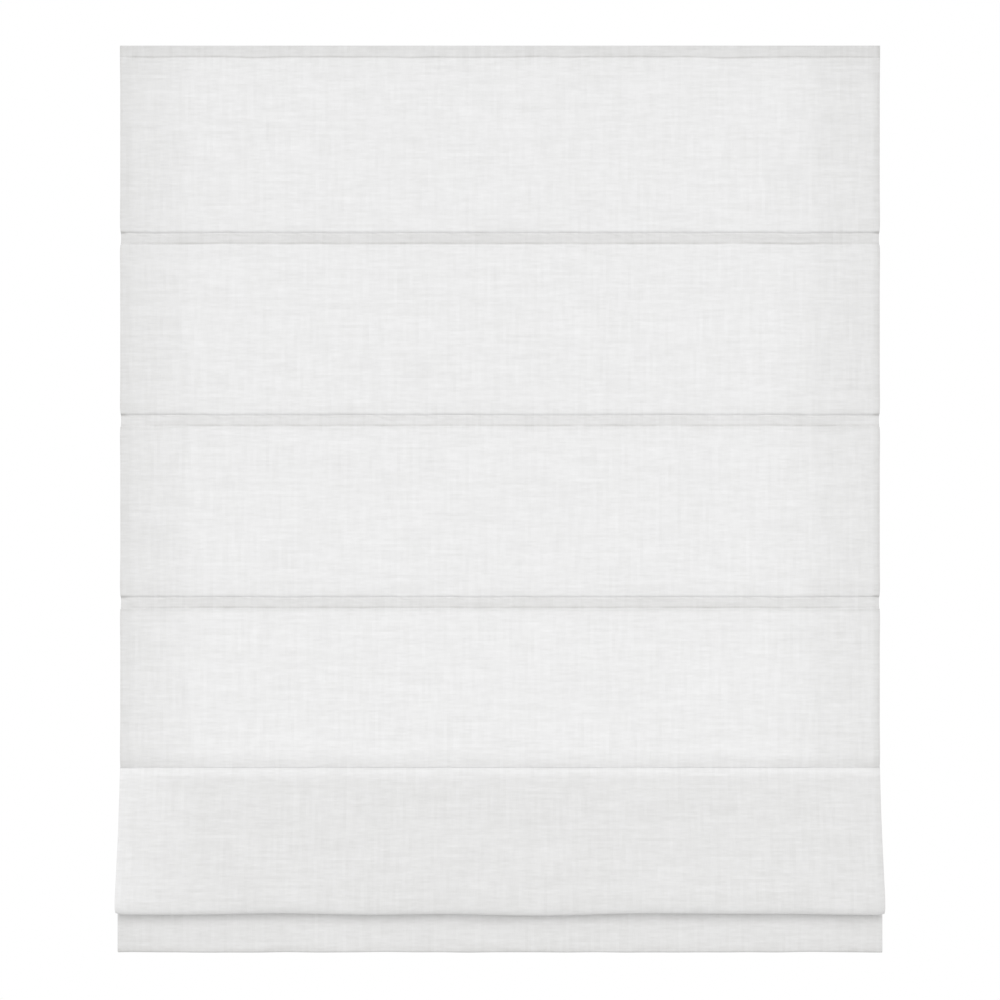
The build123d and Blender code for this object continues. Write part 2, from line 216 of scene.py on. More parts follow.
# %% The face cloth down to the tuck
stitch_z = top_z - 14.2 * mm
stitch_rows = np.concatenate([fine_rows[::-1], [0], -fine_rows])
hem_fold = layers_t + 0.2 * mm
hem_fold_r = (hem_fold - bend_gap) / 2
face_cuts = {}
face_corners = [
    (panel_y + hem_fold, top_z - top_hem, 0),
    (panel_y + hem_fold, top_z, hem_fold_r),
    (panel_y, top_z, hem_fold_r),
]
face_corners += [(panel_y, stitch_z + rise, 0) for rise in stitch_rows]
for i in range(3):
    add_panel(i + 1, panel_y, face_corners, face_cuts)
    face_corners += channel_corners(batten_z[i])
add_panel(4, panel_y, face_corners, face_cuts)
print("face cloth:", len(face_corners), "corners down to the tuck")

# %% [markdown]
# ## Tuck, fold and hem
# At the fourth batten the channel is pinched shut. The panel curls back into it, and the fold's head
# closes against the panel from below. Then the cloth swings forward, turns back under itself, climbs
# as a flap behind the fold and comes down as the turned hem. It could be left to a cloth simulation,
# but each of these places is seen in the picture or set by a batten, so it is drawn.

# %% Sizes of the tuck and the fold
tuck_r = 40 * mm
tuck_turn = math.radians(25)
tuck_lip_z = tuck_z + 0.1 * mm
tuck_lip_y = panel_y + tuck_r * (1 - math.cos(tuck_turn))
tuck_tangent = tuck_r * math.tan(tuck_turn / 2)
pinch_r = 0.6 * mm
neck_r = layers_t + 0.1 * mm
neck_run = 3.6 * mm
neck_y, neck_drop = panel_y + 5.0 * mm, 0.8 * mm
head_y, head_rise, head_r = panel_y + 1.6 * mm, 1.3 * mm, 1.8 * mm
fold_slope = (head_y - fold_y) / (tuck_z - fold_full_z)
fold_reach = 6 * mm
swell_r = 40 * mm
print(f"the fold leans forward by {fold_slope:.2f} of its drop")

# %% Tuck, fold and hem of the face cloth
face_row_step = 5 * mm
face_corners += [
    (panel_y, tuck_lip_z + tuck_tangent * math.cos(tuck_turn), tuck_r),
    (tuck_lip_y + neck_run * math.sin(tuck_turn), tuck_lip_z - neck_run * math.cos(tuck_turn), neck_r),
    (strip_y, tuck_z + strip_half, pinch_r),
    (strip_y, tuck_z - strip_half, pinch_r),
    (neck_y, tuck_z - neck_drop, neck_r),
    (head_y, tuck_z + head_rise, head_r),
]
part_at("fold_top", head_y - fold_slope * fold_reach, tuck_z - fold_reach, face_corners, face_cuts)
face_corners += [
    (fold_y, fold_full_z, swell_r),
    (fold_y, fold_z, fold_r),
    (fold_y + 2 * fold_r + bend_gap, fold_z, fold_r),
    (hem_y - 2 * flap_r - bend_gap, flap_z, flap_r),
]
part_at("fold_end", hem_y - flap_r - bend_gap / 2, flap_z, face_corners, face_cuts)
face_corners += [
    (hem_y, flap_z, flap_r),
    (hem_y, hem_z, hem_r),
    (hem_y + hem_t, hem_z, hem_r),
    (hem_y + hem_t, hem_end_z, 0),
]
face_line, face_rows = rounded_line(face_corners, face_row_step)
print("face cloth:", len(face_line), "rows")

# %% [markdown]
# ## A sheet as a grid
# A sheet is its line swept along X. It could be a bare surface with a Solidify modifier, but that has
# square edges and no turned hems. So its cross-section is a flat closed loop: the show side from left
# to right, a small half round at the edge, and the back from right to left, two layers deep where the
# side hem is turned. One grid of loop points by line rows gives the whole sheet, and rows are cut out
# of it for each piece.

# %% The loop of a sheet
face_column_step, lining_column_step = 5 * mm, 8 * mm
edge_turns = np.radians([-60, -30, 0, 30, 60])
fine_zone = 12 * mm
fine_columns = np.linspace(1, 0, 13)[1:] ** 1.5
hem_line_half = 0.8 * mm


def sheet_loop(half, thickness, hem_width, step):
    """Loop points as x, depth behind the show side, and the number of columns on the show side.

    Columns stand step apart, closer near the side edges and at the turned hem's inner edge.
    """
    edge_t = 2 * thickness
    reach = half - edge_t / 2
    inner = np.linspace(-1, 1, 2 * round((reach - fine_zone) / step) + 1) * (reach - fine_zone)
    outer = reach - fine_zone * fine_columns
    hem_line = half - hem_width + np.array([-hem_line_half, hem_line_half])
    columns = np.unique(np.concatenate([inner, outer, -outer, hem_line, -hem_line]))
    depth = np.where(np.abs(columns) > half - hem_width, edge_t, thickness)
    round_x = reach + edge_t / 2 * np.cos(edge_turns)
    round_depth = edge_t / 2 + edge_t / 2 * np.sin(edge_turns)
    x = np.concatenate([columns, round_x, columns[::-1], -round_x[::-1]])
    back = np.concatenate([0 * columns, round_depth, depth[::-1], round_depth[::-1]])
    return x, back, len(columns)


face_loop = sheet_loop(half_width, cloth_t, side_hem, face_column_step)
print("the face cloth's loop has", len(face_loop[0]), "points")

# %% Directions and faces of a sheet
def line_frame(line):
    """Distance along a line, and the direction behind it: its run turned a quarter to the left."""
    run = np.gradient(line, axis=0)
    run /= np.linalg.norm(run, axis=1, keepdims=True)
    lengths = np.linalg.norm(np.diff(line, axis=0), axis=1)
    return np.concatenate([[0], np.cumsum(lengths)]), np.stack([-run[:, 1], run[:, 0]], 1)


def sheet_faces(rows, columns, loop):
    """Quads of a closed sheet: the swept loop, and the two ends closed from show side to back."""
    i, j = np.meshgrid(np.arange(rows - 1), np.arange(loop), indexing="ij")
    after = (j + 1) % loop
    here, there = i * loop, (i + 1) * loop
    faces = np.stack([here + j, there + j, there + after, here + after], -1).reshape(-1, 4).tolist()
    turn = (loop - 2 * columns) // 2
    show = np.arange(columns)
    back = columns + turn + show[::-1]
    cap = np.stack([show[:-1], show[1:], back[1:], back[:-1]], -1)
    right = np.arange(columns - 1, columns + turn + 1)
    left = np.append(np.arange(2 * columns + turn - 1, loop), 0)
    end = (rows - 1) * loop
    faces += cap.tolist() + [right.tolist(), left.tolist()]
    faces += (cap[:, ::-1] + end).tolist()
    return faces + [(right[::-1] + end).tolist(), (left[::-1] + end).tolist()]


print(f"the face cloth's line is {line_frame(face_line)[0][-1]:.3f} m long")

# %% [markdown]
# ## Small unevenness
# Sewn linen is never quite flat. A stitched line wanders by half a millimetre, the cloth puckers
# beside it, the free fold waves a little and its corners lift. A simulation would move the seams as
# well, so each of these is a sum of a few sine waves of unlike lengths instead. Their starting points
# are fixed, so they look irregular and are the same each run.

# %% Ripples and ramps
sine_count = 6
sine_peak = 1.6 * math.sqrt(sine_count / 2)


def ripple(x, shortest, longest, seed):
    """Sum of six sines with lengths from shortest to longest, scaled to stay mostly within one."""
    draw = np.random.default_rng(seed)
    lengths = np.geomspace(shortest, longest, sine_count) * draw.uniform(0.85, 1.15, sine_count)
    starts = draw.uniform(0, 2 * np.pi, sine_count)
    return np.sin(2 * np.pi * x[..., None] / lengths + starts).sum(-1) / sine_peak


def smooth(start, full, value):
    """Zero before start, one after full; between them 3 t squared minus 2 t cubed, t the share done."""
    t = np.clip((value - start) / (full - start), 0, 1)
    return t * t * (3 - 2 * t)


def bell(distance, width):
    """One at no distance, less to both sides: e to the minus (distance / width) squared."""
    return np.exp(-(distance / width) ** 2)


def nearest(z, heights):
    """Distance from each z to the nearest of some heights."""
    return np.min(np.abs(z - np.array(heights)), axis=1, keepdims=True)


sample = ripple(np.linspace(-half_width, half_width, 500), 45 * mm, 300 * mm, 10)
print(f"a ripple runs from {sample.min():.2f} to {sample.max():.2f}")

# %% Seams that wander and pucker
side_zone = 40 * mm
panel_skin = 0.1 * mm
channel_zone = 11 * mm
channel_wander = [0.35 * mm] * 3 + [0.2 * mm]
channel_pull = [1.0 * mm] * 3 + [0.0]
pucker_zone, pucker_depth = 7 * mm, 0.22 * mm
groove_half, groove_depth, groove_change = 0.9 * mm, 0.55 * mm, 0.15 * mm
top_seam_zone, top_seam_wander = 8 * mm, 0.6 * mm


def to_side(across):
    """Nothing over most of the width, then a rise to one at the right edge and minus one at the left."""
    return smooth(half_width - side_zone, half_width, np.abs(across)) * np.sign(across)


def move_channels(shift, across, y, z):
    """A channel's seams wander up and down, the cloth puckers beside them, and the sides pull in."""
    for i, channel_z in enumerate(batten_z[:4]):
        near = bell(z - channel_z, channel_zone) * (y > hem_y)
        beside = np.exp(-np.abs(np.abs(z - channel_z) - strip_half) / pucker_zone) * (y > hem_y)
        shift[..., 0] -= near * channel_pull[i] * to_side(across)
        shift[..., 1] += beside * pucker_depth * ripple(across + 3 * z, 14 * mm, 70 * mm, 20 + i)
        shift[..., 2] += near * channel_wander[i] * ripple(across, 45 * mm, 300 * mm, 10 + i)


def move_top_seam(shift, across, y, z):
    """The top seam lies in a groove, and wanders with the cloth beside it."""
    in_head = (y < panel_y + panel_skin) & (z > batten_z[0])
    groove = groove_depth + groove_change * ripple(across, 9 * mm, 60 * mm, 61)
    wander = top_seam_wander * ripple(across, 60 * mm, 420 * mm, 62)
    shift[..., 1] += in_head * bell(z - stitch_z, groove_half) * groove
    shift[..., 2] += in_head * bell(z - stitch_z, top_seam_zone) * wander


print(f"seams wander by about {max(channel_wander) / mm:.2f} to {top_seam_wander / mm:.2f} mm")

# %% Panels that swell
free_zone = 60 * mm
panel_swell, panel_wave, panel_pull = 0.5 * mm, 0.6 * mm, 0.55 * mm


def cloth_wave(across, z):
    """The slow swell of hanging cloth: a ripple across it times a ripple down it."""
    waves = ripple(across + 0.4 * z, 110 * mm, 500 * mm, 31)
    return waves * ripple(z + 0.2 * across, 90 * mm, 400 * mm, 32)


def move_panels(shift, across, y, z):
    """Away from its seams a panel swells forward in slow waves, and its sides draw in a little."""
    on_panel = (y < panel_y + panel_skin) & (z > tuck_z)
    free = nearest(z, batten_z[:4] + [top_z])
    swell = panel_swell + panel_wave * cloth_wave(across, z)
    shift[..., 0] -= on_panel * smooth(6 * mm, free_zone, free) * panel_pull * to_side(across)
    shift[..., 1] -= on_panel * smooth(8 * mm, free_zone, free) * swell


print(f"panels swell by about {(panel_swell + panel_wave) / mm:.1f} mm")

# %% A fold and a hem that wave
fold_wave, fold_pull = 0.8 * mm, 0.8 * mm
edge_wave, edge_sag = 1.0 * mm, 0.9 * mm
corner_zone, corner_lift = 9 * mm, 1.4 * mm
hem_skin, hem_wave, hem_sag = 0.2 * mm, 0.3 * mm, 0.5 * mm


def on_fold(y, z):
    """True on the fold: below the tuck, and forward of the hem or above the flap that leads to it."""
    return (z < tuck_z) & ((y < hem_y - hem_skin) | (z > flap_z + 4 * mm))


def fold_swell(across, y, z):
    """How far back the fold's face and the lining behind it swell, growing down from the tuck."""
    return on_fold(y, z) * smooth(tuck_z, tuck_z - free_zone, z) * fold_wave * cloth_wave(across, z)


def move_fold(shift, across, y, z):
    """The fold's lower edge waves, its corners lift, its sides curve in and its face swells."""
    low = on_fold(y, z) * smooth(fold_z + free_zone, fold_z, z)
    corner = corner_lift * smooth(half_width - corner_zone, half_width, np.abs(across))
    down = np.clip((tuck_z - z) / (tuck_z - fold_z), 0, 1)
    shift[..., 0] -= on_fold(y, z) * np.sin(np.pi * down) * fold_pull * to_side(across)
    shift[..., 1] += fold_swell(across, y, z)
    shift[..., 2] += low * (edge_wave * ripple(across, 170 * mm, 600 * mm, 41) + corner - edge_sag)


def move_hem(shift, across, y, z):
    """The hem bellies forward towards its lower edge, which wanders and sags a little."""
    on_hem = (y > hem_y - hem_skin) & (z < tuck_z - 30 * mm)
    down = on_hem * smooth(fold_z, hem_z, z) * hem_wave
    shift[..., 1] -= down * (1 + ripple(across, 120 * mm, 500 * mm, 51))
    shift[..., 2] += down * ripple(across, 60 * mm, 400 * mm, 52)
    shift[..., 2] -= on_hem * smooth(hem_z + 8 * mm, hem_z, z) * hem_sag


def face_unevenness(x, line):
    """Shift of each grid point in x, y and z, for loop places x and line points: all moves added."""
    shift = np.zeros((len(line), len(x), 3))
    for move in (move_channels, move_top_seam, move_panels, move_fold, move_hem):
        move(shift, x[None, :], line[:, :1], line[:, 1:])
    return shift


middle_shift = face_unevenness(np.zeros(1), face_line)
print(f"largest shift on the centre line {np.abs(middle_shift).max() / mm:.2f} mm")

# %% [markdown]
# ## Layers of cloth and painted shade
# White linen lets some light through. Where it lies double, as in a hem, or has a batten behind it,
# less comes through and it looks a shade deeper. A see-through shader could show this, but it is slow
# and an exported model loses it. So each grid point carries one number of painted shade, which the
# finish reads: 0 for a single sheet and 1 for the darkest place. Besides the doubled cloth it holds
# painted shade in seams, at the channels, in the tuck's crease and at the hem's lower edge, and
# painted light on the fold's lower edge and left side. Tables of steps say how it changes, each step
# as an amount, where it starts and where it is full.

# %% Tones of the side hems and the top
# painted shade of the side hems: their doubled cloth, their edges and the deeper right side
hem_tone, hem_wander = 0.105, 4 * mm
side_tones = [(0.02, 160 * mm, 85 * mm), (0.10, 75 * mm, 20 * mm)]
turned_tone, turned_width, turned_change = 0.14, 10.5 * mm, 2.5 * mm
edge_tone, top_fade = 0.10, 0.6
right_tone, right_edge_tone, right_top_tone = 0.05, 0.16, 0.25
# painted shade on the top hem, below it and in its stitched groove
top_tone = 0.36
top_tones = [(0.06, stitch_z - 50 * mm, stitch_z), (0.08, top_z - 5 * mm, top_z)]
groove_shade, groove_shade_half = 0.36, 1.4 * mm


def steps(table, value):
    """Sum of smooth steps, each given as an amount, where it starts and where it is full."""
    return sum(amount * smooth(start, full, value) for amount, start, full in table)


def uneven(across, seed):
    """A shade that comes and goes along a seam, about one."""
    return 1 + 0.35 * ripple(across, 25 * mm, 200 * mm, seed)


def on_top_hem(z):
    """Zero below the top hem's stitched line and one above it."""
    return smooth(stitch_z - 1 * mm, stitch_z + 1 * mm, z)


def side_tone(across, z, inset):
    """Painted shade of the side hem: a step at its wandering inner edge, deeper towards its turned outer
    edge and at the very edge.

    Less of it shows in the top hem. The right side is a little wider and deeper than the left one.
    """
    wandering = inset + hem_wander * ripple(z + across, 60 * mm, 400 * mm, 81)
    turned = turned_width - turned_change * np.sign(across)
    tone = hem_tone * smooth(side_hem + 6 * mm, side_hem - 5 * mm, wandering) + steps(side_tones, inset)
    tone = tone + turned_tone * smooth(turned + 2 * mm, turned - 2 * mm, inset)
    tone = tone * (1 - top_fade * on_top_hem(z)) + edge_tone * smooth(3.5 * mm, 1.5 * mm, inset)
    right = right_tone * smooth(140 * mm, 90 * mm, inset) * smooth(30 * mm, 70 * mm, inset)
    right = right + right_edge_tone * smooth(8 * mm, 1 * mm, inset)
    right = right + right_top_tone * on_top_hem(z) * smooth(5 * mm, 2 * mm, inset)
    return tone + right * (across > 0)


def head_tone(across, z, inset):
    """Painted shade on the turned top hem, deepening towards it and the top edge, and in its stitched groove,
    which stops short of the corners.
    """
    groove = bell(z - stitch_z, groove_shade_half) * smooth(7 * mm, 18 * mm, inset)
    return top_tone * on_top_hem(z) + steps(top_tones, z) + groove_shade * groove * uneven(across, 71)


places = np.array([-half_width, 40 * mm - half_width, 0.0])
print("tone at the left edge, 40 mm in and in the middle:",
      side_tone(places, panel_feet[0], half_width - np.abs(places)).round(2))

# %% Tones of the channels
# painted shade of the channels: batten behind, seam ends, lower seam line, lip below, panel foot above
strip_tones = [0.43, 0.30, 0.39]
under_tones, above_tones = [0.0, 0.15, 0.30], [0.0, 0.06, 0.09]
strip_fade = 0.35
seam_end_shade, seam_half = 0.8, 1.6 * mm
seam_line_shade, seam_line_shade_half, seam_line_shade_fade = 0.40, 1.3 * mm, 0.6
seam_rise = 0.3 * mm


def channel_tone(tone, i, across, y, z, inset):
    """The tone with channel i's painted shade laid over it: deeper where its batten lies behind, at the
    seam ends and along the lower stitched line.

    The lip under the channel and the foot of the panel above it get a little painted shade too.
    """
    up = z - batten_z[i]
    within = smooth(strip_half, strip_half - 1 * mm, up)
    within = within * smooth(-strip_half - 1.2 * mm, -strip_half - 0.2 * mm, up)
    below_seam = smooth(strip_half, strip_half - 2.6 * mm, up)
    faded = 1 - strip_fade * smooth(90 * mm, 25 * mm, inset)
    tone = tone * (1 - 0.5 * within) + within * strip_tones[i] * below_seam * faded
    seam_end = bell(up - strip_half - seam_rise, seam_half) * smooth(12 * mm, 1 * mm, inset)
    stitched = (y > panel_y + 1 * mm) * bell(up + strip_half - seam_rise, seam_line_shade_half)
    stitched = stitched * (1 - seam_line_shade_fade * smooth(60 * mm, 15 * mm, inset))
    under = smooth(-12.5 * mm, -9 * mm, up) * (up < -8 * mm)
    above = smooth(28 * mm, 12 * mm, up) * (up > strip_half)
    tone = tone + under_tones[i] * under + above_tones[i] * above
    return tone + seam_end_shade * seam_end + seam_line_shade * stitched * uneven(across, 72 + i)


print("channel tones:", strip_tones)

# %% Tones of the fold and the hem
# painted shade at the tuck, on the fold and at the hem's edge; painted light under the fold
tuck_tone, tuck_line_tone = 0.12, 0.22
low_tones = [(0.38, tuck_z - 1 * mm, tuck_z - 15 * mm), (0.3, hem_z + 10 * mm, hem_z)]
fold_edge_tone, hem_head_tone = 0.38, 0.2
# painted light: more than all the side shade is taken off the fold's left side
low_fade, left_fade, right_fade = 0.65, 0.85, 0.25


def fold_tone(y, z):
    """Painted shade on the cloth above the tuck and on its closed line, then on the doubled fold and the
    hem's lower edge.

    Painted light on the fold's lower edge and the hem's head keeps them lighter, because a shadow falls
    there.
    """
    tone = tuck_tone * smooth(tuck_z + 20 * mm, tuck_z + 4 * mm, z) * (z > tuck_z)
    tone = tone + tuck_line_tone * smooth(tuck_z - 2.6 * mm, tuck_z - 0.2 * mm, z) * (z < tuck_z)
    tone = tone - fold_edge_tone * on_fold(y, z) * smooth(fold_z + 9 * mm, fold_z, z)
    in_hem = (z < tuck_z) & ~on_fold(y, z)
    tone = tone - hem_head_tone * in_hem * smooth(fold_z - 11 * mm, fold_z - 1 * mm, z)
    return tone + steps(low_tones, z)


def side_fade(across, y, z, inset):
    """The share of the side hems' painted shade that is lost below the tuck, on the hem and on the fold.

    On the fold's left it is more than one, which paints light there: the cloth turns a little lighter.
    """
    on_side = np.where(across > 0, right_fade * smooth(3 * mm, 12 * mm, inset), left_fade)
    return (low_fade + on_fold(y, z) * on_side) * smooth(tuck_z + 0.2 * mm, tuck_z - 0.8 * mm, z)


def face_painted_shade(x, line):
    """Painted shade of each point of the show side, from 0 to 1: all tones added."""
    y, z, across = line[:, :1], line[:, 1:], x[None, :]
    inset = half_width - np.abs(across)
    tone = side_tone(across, z, inset) * (1 - side_fade(across, y, z, inset))
    tone = tone + head_tone(across, z, inset)
    for i in range(3):
        tone = channel_tone(tone, i, across, y, z, inset)
    return np.clip(tone + fold_tone(y, z), 0, 1)


print("tone down the centre line:", face_painted_shade(np.zeros(1), face_line)[::50, 0].round(2))

# %% [markdown]
# ## From grids to pieces
# The sheet is worked out once as a whole, with its normals, its UV map in metres and its painted
# shade. A piece takes a run of rows and keeps the whole sheet's normals there, so no seam shows where
# two pieces meet. Splitting a finished mesh would do as well, but it would need the rows found again.

# %% Meshes from arrays
scene = bpy.context.scene
pieces = {"face_fabric": [], "lining": [], "thread": []}


def make_mesh(name, points, faces):
    """Puts arrays into a mesh object at the origin, with smooth faces."""
    mesh = bpy.data.meshes.new(name)
    mesh.from_pydata(points.reshape(-1, 3), [], faces)
    mesh.polygons.foreach_set("use_smooth", np.ones(len(mesh.polygons), dtype=bool))
    mesh.update()
    piece = bpy.data.objects.new(name, mesh)
    scene.collection.objects.link(piece)
    return piece


print("kinds of pieces to make:", ", ".join(pieces))

# %% Pieces from the rows of a sheet
class Sheet:
    """A whole sheet as one grid of points, from which pieces take their rows.

    Its first rows, as many as single says, are one layer deep also at the side hems.
    """

    def __init__(self, line, half, thickness, hem_width, step, unevenness, layers, single=0):
        x, depth, self.columns = sheet_loop(half, thickness, hem_width, step)
        depth = np.tile(depth, (len(line), 1))
        depth[:single] = np.minimum(depth[:single], thickness)
        self.line = line
        self.along, behind = line_frame(line)
        self.points = np.zeros((len(line), len(x), 3))
        self.points[..., 0] = x
        self.points[..., 1:] = line[:, None, :] + behind[:, None, :] * depth[..., None]
        self.points += unevenness(x, line)
        sweep = np.gradient(self.points, axis=0)
        round_loop = np.roll(self.points, -1, 1) - np.roll(self.points, 1, 1)
        self.normals = np.cross(sweep, round_loop)
        self.normals /= np.linalg.norm(self.normals, axis=-1, keepdims=True)
        self.uv = np.stack(np.broadcast_arrays(x[None, :], self.along[:, None]), -1)
        # painted shade of each grid point, for the finish to read
        self.layers = layers(x, line)

    def piece(self, name, first, last):
        """The rows from first to last as a closed mesh."""
        rows = slice(first, last + 1)
        faces = sheet_faces(last + 1 - first, self.columns, self.points.shape[1])
        piece = make_mesh(name, self.points[rows], faces)
        mesh = piece.data
        corner = np.zeros(len(mesh.loops), dtype=np.int32)
        mesh.loops.foreach_get("vertex_index", corner)
        uv = self.uv[rows].reshape(-1, 2)[corner].astype(np.float32)
        mesh.uv_layers.new(name="cloth").data.foreach_set("uv", uv.ravel())
        # the painted shade goes on the mesh as a point attribute
        layers = mesh.attributes.new("layers", "FLOAT", "POINT")
        layers.data.foreach_set("value", self.layers[rows].astype(np.float32).ravel())
        mesh.normals_split_custom_set_from_vertices(self.normals[rows].reshape(-1, 3).tolist())
        mesh.update()
        return piece

    def summary(self):
        """The sheet's number of points and its length along the line."""
        return f"{self.points[..., 0].size} points, {self.along[-1]:.3f} m long"


face = Sheet(face_line, half_width, cloth_t, side_hem, face_column_step, face_unevenness, face_painted_shade,
             single=face_rows[1])
print("face cloth:", face.summary())

# %% [markdown]
# ## Lining
# Behind the linen hangs a thinner cotton lining. It is stitched to the face above and below each
# batten, so it bulges round the batten as a pocket and hangs straight between pockets. It goes
# through the bottom fold inside the face cloth and ends in the turned hem. A copy of the face cloth
# would follow every lip of it, so the lining gets a simpler line of its own, made in the same way.

# %% Corners of the lining
batten_low, batten_high = batten_boxes[0]
lining_gap = layers_t + soft_gap
pocket_depth = layers_t + 2 * soft_gap + (batten_high.y - batten_low.y)
pocket_half = (batten_high.z - batten_low.z) / 2 + 0.45 * mm
pocket_r = 0.8 * mm
lining_y = strip_y + lining_gap
rail_clear_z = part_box("headrail")[0].z - 9.5 * mm
lining_gather_z = rail_clear_z - 1 * mm
first_r = 30 * mm
first_top = np.array([panel_y + lining_gap, rail_clear_z])
first_foot = np.array([lining_y, batten_z[0] + strip_half])


def pocket_corners(y, z):
    """Corners of a pocket round the batten at height z, on the side that meets the face cloth."""
    return [
        (y + lining_gap, z + strip_half, pocket_r),
        (y + pocket_depth, z + pocket_half, pocket_r),
        (y + pocket_depth, z - pocket_half, pocket_r),
        (y + lining_gap, z - strip_half, pocket_r),
    ]


def on_first_run(z):
    """Where the lining's first run, which slants back from the headrail, stands at height z."""
    share = (z - first_top[1]) / (first_foot[1] - first_top[1])
    return first_top[0] + (first_foot[0] - first_top[0]) * share


lining_cuts = {}
lining_corners = [(panel_y + lining_gap, top_z - top_hem - soft_gap, 0), (*first_top, first_r)]
first_middle_z = (lining_gather_z + panel_feet[0]) / 2
for part, z in (("top", lining_gather_z), ("middle", first_middle_z), ("foot", panel_feet[0])):
    part_at(f"panel_1_{part}", on_first_run(z), z, lining_corners, lining_cuts)
lining_corners += pocket_corners(strip_y, batten_z[0])
for i in range(1, 4):
    add_panel(i + 1, lining_y, lining_corners, lining_cuts)
    lining_corners += pocket_corners(strip_y, batten_z[i])
print("lining:", len(lining_corners), "corners down to the fold")

# %% The lining inside the fold and the hem
swing, swing_share = 20 * mm, 0.3
lining_tuck_in = 12 * mm
lining_row_step = 6 * mm
slope_gap = lining_gap * math.hypot(1, fold_slope) + soft_gap
swing_start = np.array([lining_y, tuck_z - strip_half])
swing_end = np.array([head_y - fold_slope * swing + slope_gap, tuck_z - swing])
loop_r = fold_r - lining_gap
flap_top_z = flap_z + lining_gap
flap_outer_r = flap_r + lining_gap

swing_part = swing_start + (swing_end - swing_start) * swing_share
part_at("fold_top", *swing_part, lining_corners, lining_cuts)
lining_corners += [
    (*swing_end, swing / 2),
    (fold_y + lining_gap, fold_full_z, swell_r),
    (fold_y + lining_gap, fold_z + lining_gap, loop_r),
    (fold_y + 2 * fold_r + bend_gap - lining_gap, fold_z + lining_gap, loop_r),
    (hem_y - 2 * flap_r - bend_gap - lining_gap, flap_top_z, flap_outer_r),
]
part_at("fold_end", hem_y - flap_r - bend_gap / 2, flap_top_z, lining_corners, lining_cuts)
lining_corners += [(hem_y + lining_gap, flap_top_z, flap_outer_r)]
lining_corners += pocket_corners(hem_y, batten_z[4])
lining_corners += [(hem_y + lining_gap, hem_end_z - lining_tuck_in, 0)]
lining_line, lining_rows = rounded_line(lining_corners, lining_row_step)
print("lining:", len(lining_line), "rows")

# %% The lining's sheet
lining_hem, lining_hem_tone = 10 * mm, 0.3
lining_pucker_zone, lining_pucker = 9 * mm, 0.12 * mm
slack_zone, slack_share = 22 * mm, 0.4
sewn_inset, sewn_width = 6 * mm, 45 * mm
sewn_near, sewn_far = channel_reach - 3 * mm, channel_reach + 16 * mm


def lining_unevenness(x, line):
    """The lining puckers beside its seams, swells with the fold, and its sides are sewn forward.

    The sides meet the linen's side hems between the battens, with some slack at a panel's middle.
    """
    shift = np.zeros((len(line), len(x), 3))
    y, z, across = line[:, :1], line[:, 1:], x[None, :]
    for i, channel_z in enumerate(batten_z):
        beside = np.exp(-np.abs(np.abs(z - channel_z) - strip_half) / lining_pucker_zone)
        shift[..., 1] += beside * lining_pucker * ripple(across + 2 * z, 18 * mm, 90 * mm, 60 + i)
    shift[..., 1] += fold_swell(across, y, z)
    from_batten = nearest(z, batten_z[:4])
    from_middle = nearest(z, (np.array(panel_tops) + np.array(panel_feet)) / 2)
    sewn = smooth(lining_half - sewn_width, lining_half - sewn_inset, np.abs(across)) * (z > tuck_z)
    sewn = sewn * smooth(sewn_near, sewn_far, from_batten)
    sewn = sewn * (1 - slack_share * bell(from_middle, slack_zone))
    shift[..., 1] -= sewn * (y - panel_y - lining_gap - soft_gap)
    return shift


def lining_painted_shade(x, line):
    """Painted shade where the lining lies double: only at its turned side edges."""
    inset = lining_half - np.abs(x[None, :])
    return lining_hem_tone * smooth(lining_hem + 1 * mm, lining_hem, inset) + np.zeros((len(line), 1))


lining = Sheet(lining_line, lining_half, lining_t, lining_hem, lining_column_step, lining_unevenness,
               lining_painted_shade)
print("lining:", lining.summary())

# %% [markdown]
# ## Parting the sheets and letting them follow the battens
# On the real blind the cloth creases wherever it likes. An armature or shape keys could fold it, but
# here a piece rides on one body. For each pleat's half an axis that leans forward is worked out, along
# which the half would flatten: a point a distance d from its batten would then rise by d times the
# axis's upright share squared, and come forward by d times the product of its two shares. The lean is
# chosen so that the halves would still meet when the lift is full; the axis is not applied here.

# %% Riding and pleating
lift = next(joint for joint in frame["joints"] if joint["name"] == "lift")
lift_full = lift["range_m"][1]
ratios = {c["joint"]: c["ratio"] for c in frame["record"]["behaviour"]["couplings"]}
row_body = ["headrail_set"] + [f"batten_{i}_row" for i in range(1, 5)] + ["bottom_bar"]
row_lift = [0.0] + [lift_full * ratios[f"batten_{i}_lift"] for i in range(1, 5)] + [lift_full]
keep = 0.02


def pleat_axis(height, rise):
    """The leaning axis along which a panel of that height takes up that rise: (forward, up)."""
    upright = math.sqrt(rise / height / (1 - keep))
    return math.sqrt(1 - upright * upright), upright


